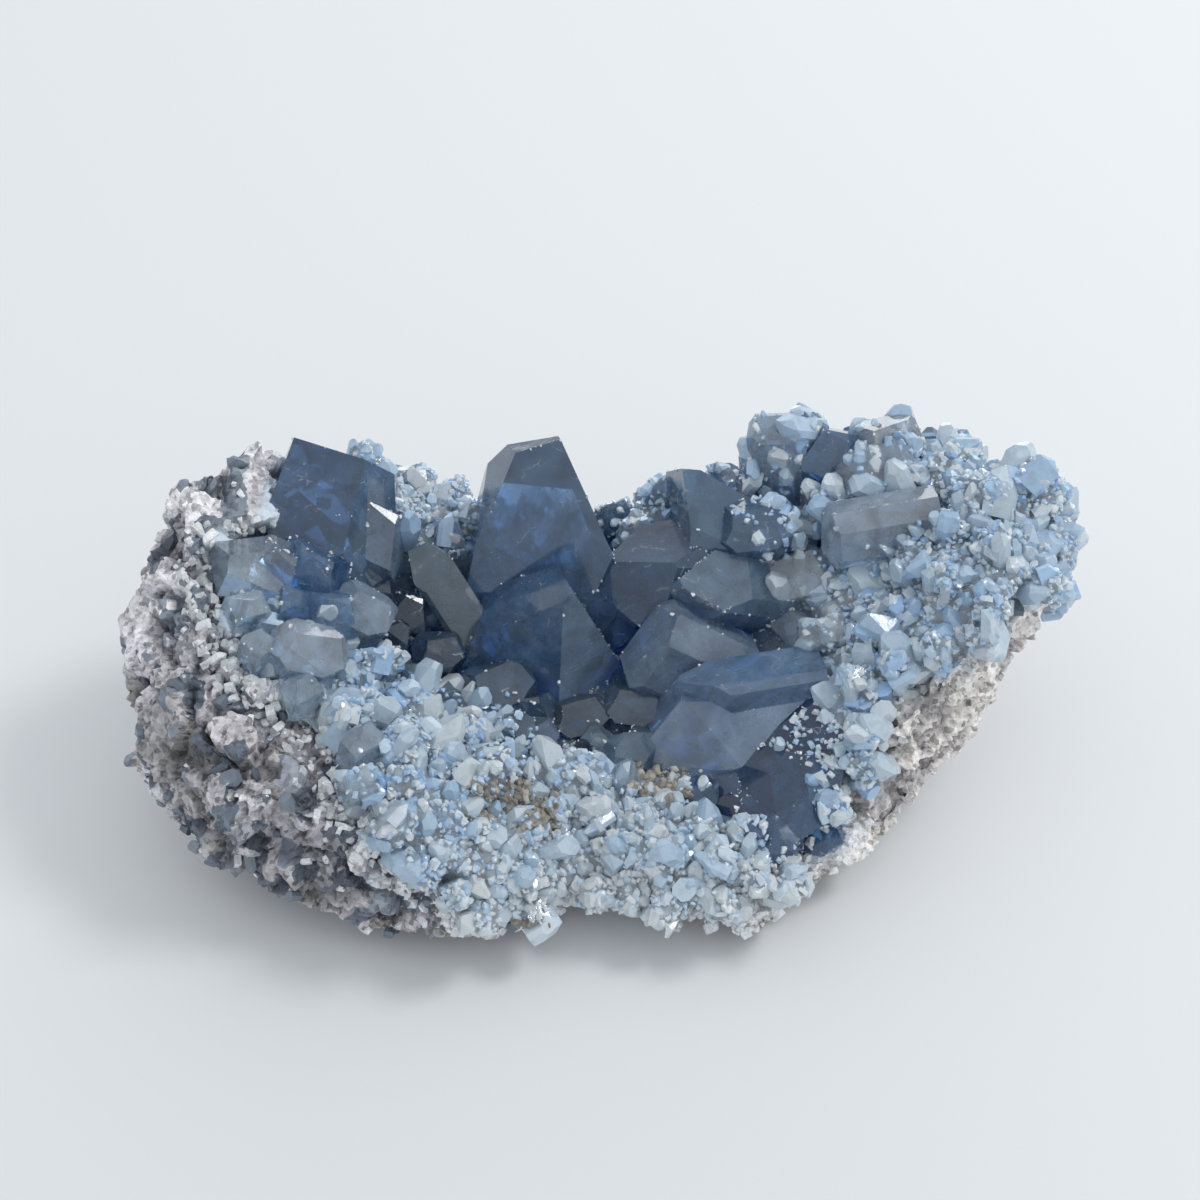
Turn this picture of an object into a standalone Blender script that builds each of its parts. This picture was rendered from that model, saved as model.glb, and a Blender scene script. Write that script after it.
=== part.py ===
"""Celestite geode: a broken piece of grey rock whose hollow is lined with blue celestite crystals.

Two solids. The matrix is the rock rind, which rests on a small flat spot. The crystal crust is the
drusy bed and every crystal that grew from it, one body because the crystals grew together.
X runs along the piece, Y from its low front edge to the back, and Z is up. The origin is on the
resting surface, under the middle of the whole piece.
"""

import math
import random

import bmesh
import bpy
from mathutils import Matrix, Vector, noise

MM = 0.001

# Driving dimensions, in millimetres.
HOLLOW_CENTRE = (0.0, 8.0)
HOLLOW_FLOOR = 11.0
FIT_GAP = 0.35
FOOT_CLEARANCE = 0.4
DRUSE_THICKNESS = 1.8
DRUSE_SUNK = 2.0
GRAIN_ROOT = 2.4
# The druse thins out at its edge over this much of the way from the rim to the widest point.
EDGE_SPAN = 0.5

# The rock's section at bearings round the hollow, counted from +X towards +Y: the bearing in degrees,
# the radius of the flat foot, the radius and height of the widest point of the outer wall, the radius
# and height of the rim, and how far the druse comes down the outer wall (0 rim, 1 widest point, 2 foot).
SECTIONS = (
    (0, 24, 58, 24, 54, 34, 0.4),
    (12, 24, 61, 30, 56, 36, 0.8),
    (30, 25, 61, 26, 55, 32, 0.5),
    (45, 25, 55, 23, 49, 29, 0.2),
    (60, 23, 47, 20, 41, 25, 0.0),
    (75, 20, 38, 17, 33, 21, -0.05),
    (90, 18, 33, 14, 29, 19, -0.05),
    (105, 19, 34, 14, 29, 20, -0.05),
    (120, 22, 38, 17, 33, 22, -0.05),
    (138, 24, 46, 20, 40, 29.5, -0.05),
    (155, 26, 56, 23, 49, 40, -0.05),
    (170, 28, 63, 22, 54, 40, -0.15),
    (184, 29, 63, 19, 53, 36, -0.12),
    (197, 29, 62, 14, 50, 31, -0.13),
    (210, 30, 57, 8, 44, 26, -0.1),
    (225, 27, 48, 5, 37, 21, 0.15),
    (241, 24, 39, 5, 31, 15, 0.7),
    (256, 20, 33, 5, 26, 12, 0.9),
    (270, 17, 29, 6, 24, 12, 0.9),
    (292, 21, 35, 4, 28, 12, 0.8),
    (317, 21, 40, 5, 32, 14, 0.6),
    (333, 21, 43, 7, 37, 19, 0.1),
    (347, 22, 49, 13, 45, 26, -0.05),
)
BEARINGS = 48
FOOT_ROWS, LOWER_ROWS, UPPER_ROWS, HOLLOW_ROWS = 1, 3, 3, 6
HOLLOW_BOTTOM_SHARE = 0.22

LUMP_SIZE, LUMP_HEIGHT = 17.0, 2.6
LEDGE_SIZE, LEDGE_HEIGHT = 7.0, 1.3

# How each habit ends, counted from the tip: the share of the width that the tip's edge keeps, the
# slopes of the broad, the left and the right end faces in degrees, the share of the width that the
# flat top cuts off, and the share of the section's corners that the prism faces cut off. A block has
# no ends of its own: BROAD_FACES shapes it.
HABITS = {
    "block": None,
    "chisel": (0.45, 66, 66, 66, 0.05, 0.12),
    "wedge": (0.30, 52, 60, 66, 0.04, 0.16),
    "point": (0.08, 56, 60, 56, 0.03, 0.24),
    "stub": (0.40, 34, 46, 38, 0.10, 0.26),
    "blade": (0.50, 62, 44, 50, 0.03, 0.12),
    "grain": (0.25, 46, 55, 48, 0, 0),
}
# The ways that the flat top and the prism faces of a habit look out.
TOP_NORMAL = (0.16, -0.22, 1.0)
PRISM_NORMAL = (0.62, 0.79)

# The crystals that a person would point at: tip (x, y, z), the bearing and the tilt from upright that
# the crystal points in, its length, width and thickness, its turn about its own axis, how far its tip
# lies off its middle along its width and its thickness (-1 to 1), and its habit.
CRYSTALS = (
    # the tall slab and the wedge in front of it, in the middle of the hollow
    ((-6.0, 24.5, 44.5), 90, 0, 34, 23, 14, 0, (0.05, 0.1), "block"),
    ((-4.5, 12, 30.8), 270, 0, 23, 23, 16, -14, (0.3, 0), "block"),
    # the roof-shaped one behind the right group, and the broad one low at the right
    ((19, 26, 37.4), 90, 0, 24, 21, 14, 0, (0, 0), "block"),
    ((19, -3, 20), 90, 0, 15, 26, 18, 0, (0, 0), "block"),
    # round the foot of the wedge
    ((-14, 5, 20.5), 250, 12, 12, 10, 8, 20, (0, 0), "stub"),
    ((-19, 13, 21), 300, 15, 12, 8, 7, 10, (0, 0), "wedge"),
    ((-3, 3, 16.5), 270, 5, 8, 8, 7, 15, (0, 0), "stub"),
    ((4.5, 4.5, 17), 270, 8, 9, 8, 7, -10, (0, 0), "stub"),
    ((2.5, 17, 20), 280, 8, 12, 6, 5, 30, (0, 0), "point"),
    ((-9.5, 2.5, 18), 240, 20, 10, 8, 7, 0, (0, 0), "wedge"),
    # the left mound
    ((-37.5, 21.5, 45.5), 90, 0, 20, 20, 16, 0, (0, 0), "block"),
    ((-34, 17, 37.5), 300, 22, 12, 6, 5, 10, (0, 0), "point"),
    ((-28.5, 19.5, 36.5), 330, 24, 18, 12, 9, -15, (-0.2, 0), "wedge"),
    ((-27, 28, 34.5), 20, 35, 14, 12, 7, -10, (0, 0), "stub"),
    ((-24.5, 18.5, 31), 148, 36, 22, 6, 5, 20, (0, 0), "chisel"),
    ((-44, 8, 37.5), 300, 28, 12, 12, 10, 10, (0, 0), "stub"),
    ((-40, 9, 37.5), 315, 30, 13, 9, 8, -20, (0, 0), "wedge"),
    ((-35.5, 9, 37), 315, 30, 13, 10, 9, -15, (0, 0), "wedge"),
    ((-24.5, 12, 27.5), 330, 22, 12, 7, 6, 0, (0, 0), "wedge"),
    ((-33, 5, 33.5), 320, 30, 12, 8, 7, 15, (0, 0), "wedge"),
    ((-29.5, 7, 31.5), 330, 30, 12, 8, 7, -15, (0, 0), "stub"),
    ((-35.5, -2.5, 33), 315, 35, 10, 10, 7, 0, (0, 0), "stub"),
    ((-27, 1.5, 27.5), 330, 40, 10, 6, 3.5, 30, (0, 0), "blade"),
    ((-21, 8, 23), 320, 24, 10, 7, 5.5, 15, (0, 0), "stub"),
    ((-19, 22, 27), 20, 12, 10, 6, 5, 30, (0, 0), "wedge"),
    # the group that reaches in from the right
    ((20.5, 20.5, 34.5), 250, 25, 16, 11, 8, 0, (0, 0), "stub"),
    ((0, 17.5, 26.5), 200, 70, 22, 14, 12, 30, (0, 0), "wedge"),
    ((9, 15, 26.5), 200, 66, 18, 12, 9, -10, (0, 0), "wedge"),
    ((4, 10.5, 21.5), 180, 58, 16, 14, 10, 15, (0, 0), "stub"),
    ((24.5, 18, 28), 230, 30, 13, 11, 8, 0, (0, 0), "stub"),
    ((9.2, 1.6, 18.0), 189, 94, 20.5, 9, 8, 20, (0.2, 0), "blade"),
    ((25, -16, 13.8), 262, 38, 11, 12, 8, 0, (0, 0), "stub"),
    ((29, 18, 32.5), 188, 96, 16, 8.5, 7, 20, (0, 0), "stub"),
    # the back of the hollow
    ((2.5, 32, 27.5), 270, 12, 12, 6, 5, 20, (0, 0), "wedge"),
    ((9.5, 32.5, 31), 250, 15, 14, 8, 6, -20, (0, 0), "wedge"),
    ((6.5, 27.5, 28), 265, 15, 12, 8, 6, 25, (0, 0), "stub"),
    ((-17.5, 28, 30), 300, 20, 12, 8, 6, 0, (0, 0), "wedge"),
    # the right lobe
    ((37, 25, 40.5), 260, 32, 12, 11, 9, 10, (0, 0), "stub"),
    ((31.5, 29, 42), 250, 18, 15, 10, 8, -20, (0, 0), "wedge"),
    ((39, 29.5, 42), 270, 18, 13, 9, 8, 15, (0, 0), "stub"),
    ((29.5, 23, 36.5), 230, 35, 12, 8, 6, 0, (0, 0), "wedge"),
    ((23.5, 31, 43), 200, 10, 15, 8, 6.5, -10, (0, 0), "stub"),
    ((21.5, 31.5, 39), 180, 16, 12, 6, 5, 20, (0, 0), "wedge"),
    ((27, 32, 43.5), 240, 10, 12, 7, 6, 0, (0, 0), "point"),
    ((46, 27, 39.5), 200, 14, 10, 8, 7, 30, (0, 0), "stub"),
    ((52, 18, 42), 300, 25, 11, 9, 7, 10, (0, 0), "wedge"),
    ((59, 24, 41), 0, 24, 13, 9, 7, 0, (0, 0), "wedge"),
    ((62.5, 21, 38), 345, 50, 12, 8, 7, 20, (0, 0), "stub"),
    ((63.5, 16.5, 33), 340, 72, 9, 8, 6, 0, (0, 0), "stub"),
    ((62.5, 12, 28), 330, 82, 9, 7, 6, 15, (0, 0), "stub"),
    ((53, 9.5, 37), 290, 55, 9, 8, 6, -15, (0, 0), "stub"),
    ((49, 8.5, 32), 280, 60, 9, 7, 6, 10, (0, 0), "stub"),
    # the front edge
    ((-19.5, -8, 23), 300, 30, 11, 7, 5, 20, (0, 0), "blade"),
    ((-13.5, -1, 18), 290, 25, 9, 7, 6, 0, (0, 0), "stub"),
    ((-8.5, -2, 16.5), 270, 20, 8, 6, 5, 25, (0, 0), "stub"),
    ((-9.5, -8.5, 17), 262, 22, 10, 8, 7, 10, (0, 0), "stub"),
    ((-3.5, -10, 16), 270, 34, 11, 8, 8, -5, (0, 0), "stub"),
    ((3.5, -4.5, 16), 280, 28, 10, 6, 5, 15, (0, 0), "stub"),
    ((12.5, -11, 15), 270, 25, 9, 5.5, 5, 0, (0, 0), "stub"),
    ((18, -13, 14.5), 275, 25, 8, 6, 5, 30, (0, 0), "stub"),
    ((29.5, -11, 18), 290, 35, 9, 7, 6, 0, (0, 0), "stub"),
    ((31, 12.5, 25.5), 220, 35, 10, 7, 6, 10, (0, 0), "stub"),
    ((32.5, 16, 28.5), 230, 30, 10, 7, 6, 30, (0, 0), "stub"),
)

# The broad faces that shape the blocks: the crystal's place in CRYSTALS, a point on the face and the
# way the face looks out.
BROAD_FACES = (
    # the tall slab
    (0, (-6.0, 24.0, 44.0), (0.0, -0.94, 0.34)),
    (0, (-5.4, 25.0, 44.2), (0.90, 0.33, 0.29)),
    (0, (-10.4, 22.0, 43.6), (-0.89, -0.13, 0.44)),
    (0, (-17.4, 27.0, 27.4), (-0.97, 0.0, 0.24)),
    (0, (-6.0, 25.4, 44.2), (0.05, 0.90, 0.42)),
    (0, (-5.8, 24.0, 44.2), (-0.30, 0.25, 0.92)),
    # the wedge in front of it
    (1, (-4.5, 12.0, 30.6), (-0.56, -0.10, 0.82)),
    (1, (-4.8, 8.0, 28.4), (-0.24, -0.95, 0.24)),
    (1, (-4.8, 8.0, 28.4), (0.67, -0.73, 0.14)),
    (1, (-4.5, 12.0, 30.6), (0.84, 0.36, 0.40)),
    (1, (-18.5, 12.0, 18.0), (-0.90, 0.0, 0.43)),
    (1, (-6.0, 16.0, 29.0), (-0.10, 0.86, 0.50)),
    # the block on top of the left mound
    (10, (-40.0, 24.0, 44.8), (0.0, -0.73, 0.69)),
    (10, (-40.0, 24.0, 44.8), (-0.88, 0.10, 0.35)),
    (10, (-40.0, 24.0, 44.8), (0.30, 0.70, 0.65)),
    (10, (-30.6, 22.0, 42.6), (0.82, -0.50, 0.20)),
    # the roof-shaped one behind the right group
    (2, (9.7, 30.0, 29.0), (-0.97, -0.22, 0.06)),
    (2, (13.6, 27.0, 37.0), (0.49, 0.58, 0.65)),
    (2, (13.6, 27.0, 37.0), (0.30, -0.56, 0.77)),
    (2, (13.6, 27.0, 37.0), (0.07, 0.67, 0.74)),
    (2, (12.4, 20.0, 31.8), (0.05, -0.95, 0.30)),
    # the broad one low at the right, whose two front faces meet in an edge
    (3, (13.1, -1.8, 18.7), (0.03, -0.59, 0.80)),
    (3, (13.1, -1.8, 18.7), (-0.30, -0.76, 0.58)),
    (3, (7.3, 0.2, 15.7), (-0.80, 0.10, 0.60)),
    (3, (29.8, -6.7, 14.7), (0.85, -0.20, 0.49)),
    (3, (21.2, -11.2, 13.7), (0.0, -0.97, 0.24)),
    (3, (20.0, 3.0, 19.0), (0.10, 0.80, 0.60)),
)

# The smaller crystals of the druse, which grow thick on the rock and stand away from it: how many are
# tried, the least distance between neighbours as a share of their widths, their widths on the rim and
# in the hollow, their heights and thicknesses as shares of their widths, how far their tips lie off
# their middles, how far they lean from the rock's normal in degrees, and how near they may come to a
# large crystal's middle line as a share of its width and thickness together.
SEED = 31
TRIES = 9000
NEIGHBOUR_SHARE = 1.05
RIM_WIDTHS = (3.2, 4.8)
HOLLOW_WIDTHS = (4.4, 6.8)
GRAIN_HEIGHTS = (0.45, 0.85)
GRAIN_THICKNESSES = (0.7, 0.95)
MOST_TIP_OFFSET = 0.3
GREATEST_LEAN = 25
CLEAR_OF_LARGE = 0.29

# Faces this near to one plane, in degrees, are one flat face.
FLAT_ANGLE = 1.0

# The plain finishes: colour, roughness and how much light passes through.
ROCK_FINISH = ((0.36, 0.34, 0.33), 0.85, 0.0)
CRYSTAL_FINISH = ((0.30, 0.42, 0.56), 0.12, 0.6)


def smooth(value):
    value = min(max(value, 0.0), 1.0)
    return value * value * (3 - 2 * value)


def section_at(bearing):
    """The section's dimensions at any bearing: a smooth periodic curve through SECTIONS."""
    count = len(SECTIONS)
    after = next((i for i, row in enumerate(SECTIONS) if row[0] > bearing), count)
    rows = [SECTIONS[(after + k) % count] for k in (-2, -1, 0, 1)]
    span = (rows[2][0] - rows[1][0]) % 360
    t = ((bearing - rows[1][0]) % 360) / span
    weights = (
        0.5 * (-t + 2 * t * t - t * t * t),
        0.5 * (2 - 5 * t * t + 3 * t * t * t),
        0.5 * (t + 4 * t * t - 3 * t * t * t),
        0.5 * (-t * t + t * t * t),
    )
    return [sum(w * row[k] for w, row in zip(weights, rows)) for k in range(1, 7)]


def profile(bearing):
    """Points (radius, height, down) from the foot's middle to the hollow's middle. down is 2 at the
    foot, 1 at the widest point, 0 at the rim and -1 at the middle of the hollow."""
    foot, belly, belly_z, rim, rim_z, _ = section_at(bearing)
    points = [(foot * k / FOOT_ROWS, 0.0, 2.0) for k in range(1, FOOT_ROWS + 1)]
    for k in range(1, LOWER_ROWS + 1):
        turn = math.pi / 2 * k / LOWER_ROWS
        radius = foot + (belly - foot) * math.sin(turn)
        points.append((radius, belly_z * (1 - math.cos(turn)), 2 - k / LOWER_ROWS))
    for k in range(1, UPPER_ROWS + 1):
        turn = math.pi / 2 * k / UPPER_ROWS
        radius = rim + (belly - rim) * math.cos(turn)
        points.append((radius, belly_z + (rim_z - belly_z) * math.sin(turn), 1 - k / UPPER_ROWS))
    for k in range(1, HOLLOW_ROWS):
        share = 1 - k / HOLLOW_ROWS
        rise = smooth((share - HOLLOW_BOTTOM_SHARE) / (1 - HOLLOW_BOTTOM_SHARE))
        points.append((rim * share, HOLLOW_FLOOR + (rim_z - HOLLOW_FLOOR) * rise, share - 1))
    return points


def roughness(place):
    """Lumps and ledges of the broken rock, in millimetres along the surface's normal."""
    lump = noise.noise(place / LUMP_SIZE) * LUMP_HEIGHT
    ledge = noise.noise(place / LEDGE_SIZE + Vector((7.3, 1.9, 4.1))) * LEDGE_HEIGHT
    return lump + ledge


def rock_mesh(offset):
    """The rock's closed surface in millimetres, moved outwards by offset(bearing, down). The part and
    the solids that fit it all come from here, so they share one surface. Also returns its columns of
    points, one column at each bearing, from the foot to the hollow's middle."""
    bm = bmesh.new()
    columns = []
    moves = {}
    foot_pole = bm.verts.new((*HOLLOW_CENTRE, 0.0))
    hollow_pole = bm.verts.new((*HOLLOW_CENTRE, HOLLOW_FLOOR))
    moves[foot_pole] = offset(0, 2.0)
    moves[hollow_pole] = offset(0, -1.0)
    for step in range(BEARINGS):
        bearing = 360 * step / BEARINGS
        turn = math.radians(bearing)
        column = []
        for radius, height, down in profile(bearing):
            x = HOLLOW_CENTRE[0] + radius * math.cos(turn)
            y = HOLLOW_CENTRE[1] + radius * math.sin(turn)
            vert = bm.verts.new((x, y, height))
            moves[vert] = offset(bearing, down)
            column.append(vert)
        columns.append(column)
    for step in range(BEARINGS):
        here, after = columns[step], columns[(step + 1) % BEARINGS]
        bm.faces.new((foot_pole, after[0], here[0]))
        bm.faces.new((hollow_pole, here[-1], after[-1]))
        for low, high in zip(range(len(here) - 1), range(1, len(here))):
            bm.faces.new((here[low], after[low], after[high], here[high]))
    foot_rows = {vert for column in columns for vert in column[:FOOT_ROWS]} | {foot_pole}
    bm.normal_update()
    rough = {vert: vert.normal * roughness(vert.co) for vert in bm.verts if vert not in foot_rows}
    for vert, move in rough.items():
        vert.co += move
        vert.co.z = max(vert.co.z, FOOT_CLEARANCE)
    bm.normal_update()
    moved = {vert: vert.normal * moves[vert] for vert in bm.verts}
    for vert, move in moved.items():
        vert.co += move
    bmesh.ops.triangulate(bm, faces=bm.faces)
    bm.normal_update()
    return bm, columns


def finished(bm, name):
    """An object in metres from a mesh in millimetres."""
    bm.transform(Matrix.Scale(MM, 4))
    mesh = bpy.data.meshes.new(name)
    bm.to_mesh(mesh)
    bm.free()
    return bpy.data.objects.new(name, mesh)


def rock_shape(name, offset):
    bm, _ = rock_mesh(offset)
    return finished(bm, name)


def matrix_offset(bearing, down):
    return 0.0


def fit_offset(bearing, down):
    return FIT_GAP


def druse_offset(bearing, down):
    """The druse stands on the rock where it covers it and sinks into the rock past its edge."""
    reach = section_at(bearing)[5]
    covered = smooth((reach - down) / EDGE_SPAN + 0.5)
    return (DRUSE_SUNK + DRUSE_THICKNESS) * covered - DRUSE_SUNK


def cut_face(bm, place, normal):
    """Cuts off all that lies outside one flat face and closes the solid there."""
    cut = bmesh.ops.bisect_plane(
        bm, geom=bm.verts[:] + bm.edges[:] + bm.faces[:],
        plane_co=place, plane_no=normal, clear_outer=True,
    )
    rim = [item for item in cut["geom_cut"] if isinstance(item, bmesh.types.BMEdge)]
    if rim:
        bmesh.ops.contextual_create(bm, geom=rim)


def cut_ends(bm, habit, half, tip):
    """Cuts a habit's end faces, flat top and prism faces, with the tip at the origin."""
    edge, broad_slope, left_slope, right_slope, top, corner = habit
    for side in (-1, 1):
        slope = math.radians(broad_slope)
        cut_face(bm, Vector(), Vector((0, side * math.sin(slope), math.cos(slope))))
    for side, degrees in ((-1, left_slope), (1, right_slope)):
        slope = math.radians(degrees)
        end = Vector((side * edge * half[0], 0, 0))
        cut_face(bm, end, Vector((side * math.sin(slope), 0, math.cos(slope))))
    if top:
        cut_face(bm, Vector((0, 0, -top * 2 * half[0])), Vector(TOP_NORMAL))
    if corner:
        for side_x in (-1, 1):
            for side_y in (-1, 1):
                kept = Vector((side_x * half[0] * (1 - 2 * corner), side_y * half[1], 0))
                kept -= Vector((*tip, 0))
                outwards = Vector((side_x * PRISM_NORMAL[0], side_y * PRISM_NORMAL[1], 0))
                cut_face(bm, kept, outwards)


def crystal_mesh(tip, bearing, tilt, length, width, thickness, spin, offset, habit):
    """A celestite crystal in millimetres: a block of its width and thickness, cut by its prism faces,
    its end faces and its flat top, then turned to point along bearing and tilt with its tip in place."""
    half_width, half_thickness = width / 2, thickness / 2
    tip_x, tip_y = offset[0] * half_width, offset[1] * half_thickness
    bm = bmesh.new()
    bmesh.ops.create_cube(bm, size=1.0)
    bmesh.ops.scale(bm, verts=bm.verts, vec=(width, thickness, length))
    bmesh.ops.translate(bm, verts=bm.verts, vec=(-tip_x, -tip_y, -length / 2))
    if HABITS[habit]:
        cut_ends(bm, HABITS[habit], (half_width, half_thickness), (tip_x, tip_y))
    heading = math.radians(bearing)
    lean = Matrix.Rotation(heading, 4, "Z") @ Matrix.Rotation(math.radians(tilt), 4, "Y")
    turn = Matrix.Rotation(math.radians(spin) - heading, 4, "Z")
    bm.transform(Matrix.Translation(Vector(tip)) @ lean @ turn)
    return bm


def surface_at(columns, bearing, row):
    """The point and the normal on the rock between four of its points."""
    step = bearing / 360 * BEARINGS
    first, low = int(step) % BEARINGS, int(row)
    side, rise = step - int(step), row - low
    second = (first + 1) % BEARINGS
    corners = (columns[first][low], columns[second][low], columns[first][low + 1], columns[second][low + 1])
    shares = ((1 - side) * (1 - rise), side * (1 - rise), (1 - side) * rise, side * rise)
    place = Vector()
    normal = Vector()
    for corner, share in zip(corners, shares):
        place += corner.co * share
        normal += corner.normal * share
    return place, normal.normalized()


def axis_distance(place, tip, axis, length):
    """How far a place is from a crystal's middle line."""
    along = min(max((place - tip).dot(axis), -length), 0.0)
    return (place - tip - axis * along).length


def druse_crystals(columns):
    """Rows like those of CRYSTALS for the smaller crystals, spread over the covered rock."""
    draw = random.Random(SEED)
    shafts = []
    for tip, bearing, tilt, length, width, thickness, *_ in CRYSTALS:
        heading, lean = math.radians(bearing), math.radians(tilt)
        flat = math.sin(lean)
        axis = Vector((flat * math.cos(heading), flat * math.sin(heading), math.cos(lean)))
        shafts.append((Vector(tip), axis, length, (width + thickness) * CLEAR_OF_LARGE))
    rows = []
    placed = []
    last_row = len(columns[0]) - 1
    for _ in range(TRIES):
        bearing = draw.uniform(0, 360)
        row = draw.uniform(FOOT_ROWS, last_row)
        place, normal = surface_at(columns, bearing, row)
        down = down_at(row)
        if down > section_at(bearing)[5]:
            continue
        inside = smooth(-down / EDGE_SPAN)
        least = RIM_WIDTHS[0] + (HOLLOW_WIDTHS[0] - RIM_WIDTHS[0]) * inside
        most = RIM_WIDTHS[1] + (HOLLOW_WIDTHS[1] - RIM_WIDTHS[1]) * inside
        width = draw.uniform(least, most)
        if any((place - other).length < (width + size) / 2 * NEIGHBOUR_SHARE for other, size in placed):
            continue
        height = width * draw.uniform(*GRAIN_HEIGHTS)
        if any(axis_distance(place + normal * height / 2, *shaft[:3]) < shaft[3] for shaft in shafts):
            continue
        lean = Vector([draw.uniform(-1, 1) for _ in range(3)]) * math.tan(math.radians(GREATEST_LEAN))
        axis = (normal + lean).normalized()
        tip = place + axis * (DRUSE_THICKNESS + height)
        tilt = math.degrees(math.acos(axis.z))
        heading = math.degrees(math.atan2(axis.y, axis.x))
        thickness = width * draw.uniform(*GRAIN_THICKNESSES)
        length = DRUSE_THICKNESS + height + GRAIN_ROOT
        spin = draw.uniform(0, 180)
        off = [draw.uniform(-MOST_TIP_OFFSET, MOST_TIP_OFFSET) for _ in range(2)]
        rows.append((tuple(tip), heading, tilt, length, width, thickness, spin, off, "grain"))
        placed.append((place, width))
    return rows


def down_at(row):
    """How far down the outside a fractional row of a column lies: 2 foot, 1 widest, 0 rim, -1 middle."""
    if row <= FOOT_ROWS - 1:
        return 2.0
    if row <= FOOT_ROWS - 1 + LOWER_ROWS:
        return 2 - (row - FOOT_ROWS + 1) / LOWER_ROWS
    if row <= FOOT_ROWS - 1 + LOWER_ROWS + UPPER_ROWS:
        return 1 - (row - FOOT_ROWS + 1 - LOWER_ROWS) / UPPER_ROWS
    return -(row - FOOT_ROWS + 1 - LOWER_ROWS - UPPER_ROWS) / HOLLOW_ROWS


def combine(body, other, operation):
    """Joins a solid, or every solid of a collection, to the body, or takes it away."""
    modifier = body.modifiers.new(operation.lower(), "BOOLEAN")
    modifier.operation = operation
    modifier.solver = "EXACT"
    if isinstance(other, bpy.types.Collection):
        modifier.operand_type = "COLLECTION"
        modifier.collection = other
    else:
        modifier.object = other


def grown_together(crust):
    """Applies the crust's Booleans and keeps its one outer surface, without the little voids that
    crystals close in, and with each flat face left whole."""
    shaped = crust.evaluated_get(bpy.context.evaluated_depsgraph_get())
    bm = bmesh.new()
    bm.from_mesh(shaped.to_mesh())
    crust.modifiers.clear()
    shells = []
    left = set(bm.verts)
    while left:
        shell = set()
        edge = {left.pop()}
        while edge:
            shell |= edge
            edge = {line.other_vert(vert) for vert in edge for line in vert.link_edges} - shell
        left -= shell
        shells.append(shell)
    outer = max(shells, key=len)
    bmesh.ops.delete(bm, geom=[vert for vert in bm.verts if vert not in outer], context="VERTS")
    flat = math.radians(FLAT_ANGLE)
    bmesh.ops.dissolve_limit(bm, angle_limit=flat, verts=bm.verts, edges=bm.edges)
    bmesh.ops.triangulate(bm, faces=bm.faces)
    bm.to_mesh(crust.data)
    bm.free()


def stone(name, colour, roughness, transmission):
    """A plain finish for one of the two materials."""
    finish = bpy.data.materials.new(name)
    finish.use_nodes = True
    shader = finish.node_tree.nodes["Principled BSDF"]
    shader.inputs["Base Color"].default_value = (*colour, 1)
    shader.inputs["Roughness"].default_value = roughness
    shader.inputs["Metallic"].default_value = 0.0
    shader.inputs["Transmission Weight"].default_value = transmission
    return finish


def stand_on_origin(solids):
    """Moves every solid so that the origin is under the middle of the finished pieces."""
    points = [vert.co for name in ("matrix", "crystal_crust") for vert in solids[name].data.vertices]
    middle = [(min(p[k] for p in points) + max(p[k] for p in points)) / 2 for k in (0, 1)]
    move = Matrix.Translation((-middle[0], -middle[1], -min(p[2] for p in points)))
    for solid in solids.values():
        solid.data.transform(move)


def new_collection(name):
    collection = bpy.data.collections.new(name)
    bpy.context.scene.collection.children.link(collection)
    return collection


def main():
    for old in list(bpy.data.objects):
        bpy.data.objects.remove(old)
    geode = new_collection("celestite_geode")
    cutters = new_collection("cutters")
    growth = new_collection("growth")

    matrix = rock_shape("matrix", matrix_offset)
    geode.objects.link(matrix)
    matrix.data.materials.append(stone("grey_rock", *ROCK_FINISH))

    crust = rock_shape("crystal_crust", druse_offset)
    geode.objects.link(crust)
    crust.data.materials.append(stone("blue_celestite", *CRYSTAL_FINISH))
    surface, columns = rock_mesh(matrix_offset)
    for number, row in enumerate(CRYSTALS + tuple(druse_crystals(columns))):
        crystal = crystal_mesh(*row)
        for owner, place, normal in BROAD_FACES:
            if owner == number:
                cut_face(crystal, Vector(place), Vector(normal))
        bmesh.ops.recalc_face_normals(crystal, faces=crystal.faces)
        if crystal.calc_volume(signed=True) < 0:
            bmesh.ops.reverse_faces(crystal, faces=crystal.faces)
        bmesh.ops.triangulate(crystal, faces=crystal.faces)
        growth.objects.link(finished(crystal, f"crystal_{number:03d}"))
    surface.free()
    combine(crust, growth, "UNION")
    room = rock_shape("room_for_the_matrix", fit_offset)
    cutters.objects.link(room)
    combine(crust, room, "DIFFERENCE")
    grown_together(crust)
    stand_on_origin({solid.name: solid for solid in bpy.data.objects})
    for collection in (cutters, growth):
        for solid in collection.objects:
            solid.hide_render = True
            solid.display_type = "WIRE"


main()
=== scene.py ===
"""The celestite geode's looks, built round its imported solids."""

import math

import bmesh
import bpy
import numpy as np
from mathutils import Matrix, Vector, noise
from mathutils.bvhtree import BVHTree


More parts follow.
